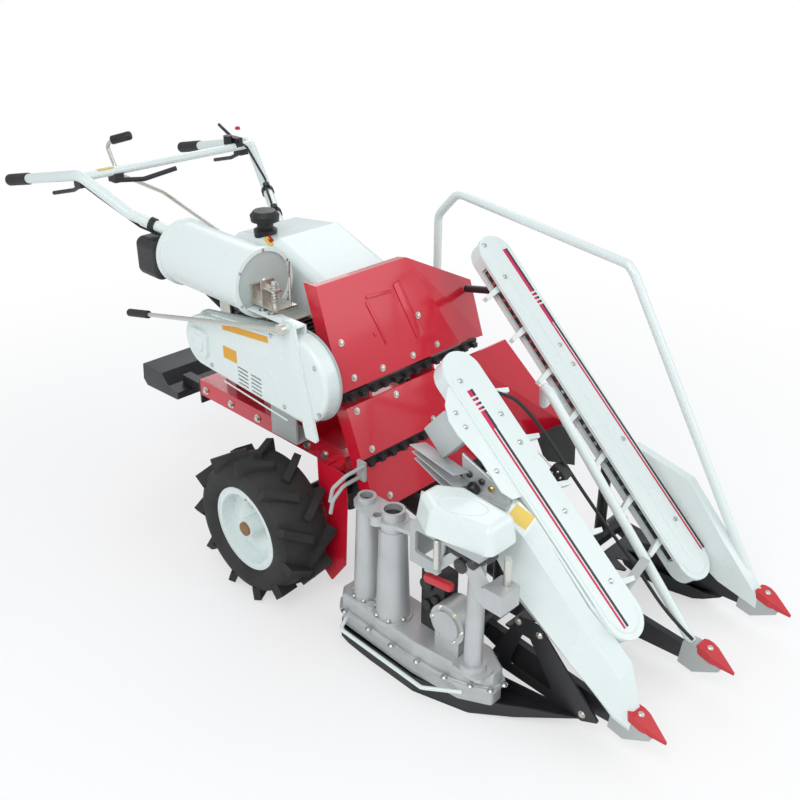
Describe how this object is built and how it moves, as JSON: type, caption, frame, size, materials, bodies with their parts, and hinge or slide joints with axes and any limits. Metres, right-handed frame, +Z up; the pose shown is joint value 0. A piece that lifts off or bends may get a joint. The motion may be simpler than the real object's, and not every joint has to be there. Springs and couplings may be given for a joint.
{
  "type": "walk-behind reaper binder",
  "caption": "Walk-behind two-row reaper binder with divider tips, raising cases, binding unit, engine, twine canister and two drive wheels that turn.",
  "frame": {"origin": "on the floor under the middle of the machine's length and width", "axes": "+X forward to the divider tips, +Y to the machine's left, +Z up"},
  "size_m": [2.3368, 0.8864, 1.0306],
  "materials": {
    "black_paint": "satin",
    "black_plastic": "satin",
    "cast_alloy": "satin",
    "engine_grey": "matte",
    "grey_paint": "satin",
    "grip_rubber": "matte",
    "red_paint": "gloss",
    "red_plastic": "gloss",
    "tyre_rubber": "matte",
    "white_paint": "gloss",
    "white_plastic": "gloss",
    "zinc": "satin"
  },
  "bodies": {
    "chassis": {"gearbox": "black_paint", "chassis_frame": "red_paint", "engine_block": "engine_grey", "fan_housing": "black_paint", "muffler": "black_paint", "air_filter": "black_plastic", "fuel_tank": "white_plastic", "tank_cap": "black_plastic", "belt_guard": "white_paint", "guard_back_plate": "grey_paint", "guard_post": "white_paint", "hand_lever": "zinc", "hand_lever_grip": "grip_rubber", "twine_canister": "white_plastic", "canister_tray": "zinc", "twine_tensioner": "zinc", "handlebar": "white_paint", "grips": "grip_rubber", "brake_levers": "black_plastic", "clutch_lever": "black_paint", "throttle": "black_plastic", "gear_lever": "zinc", "ballast_box": "black_paint", "shield_upper": "red_paint", "shield_lower": "red_paint", "raising_case_left": "white_paint", "raising_case_right": "white_paint", "raising_fingers": "white_plastic", "divider_shell_left": "white_paint", "divider_shell_right": "white_paint", "skids": "black_paint", "case_posts": "black_paint", "header_frame": "black_paint", "cutter_bar": "zinc", "binder_case": "cast_alloy", "binder_post": "cast_alloy", "discharge_arm": "cast_alloy", "knotter_frame": "grey_paint", "knotter_cover": "white_paint", "needle_arm": "cast_alloy", "straw_guides": "grey_paint", "base_rod": "white_paint", "guard_tube": "white_paint", "middle_tube": "white_paint", "tip_holders": "grey_paint", "divider_tips": "red_plastic", "lug_chains": "black_plastic", "side_plate": "red_paint", "control_cables": "grip_rubber"},
    "wheel_left": {"tyre_left": "tyre_rubber", "rim_left": "white_paint", "half_axle_left": "zinc"},
    "wheel_right": {"tyre_right": "tyre_rubber", "rim_right": "white_paint", "half_axle_right": "zinc"}
  },
  "joints": [
    {"name": "wheel_left_spin", "type": "hinge", "parent": "chassis", "child": "wheel_left", "pos_m": [0.049, 0.306, 0.203], "axis": [0, 1, 0], "continuous": true},
    {"name": "wheel_right_spin", "type": "hinge", "parent": "chassis", "child": "wheel_right", "pos_m": [0.049, -0.36, 0.203], "axis": [0, 1, 0], "continuous": true}
  ]
}
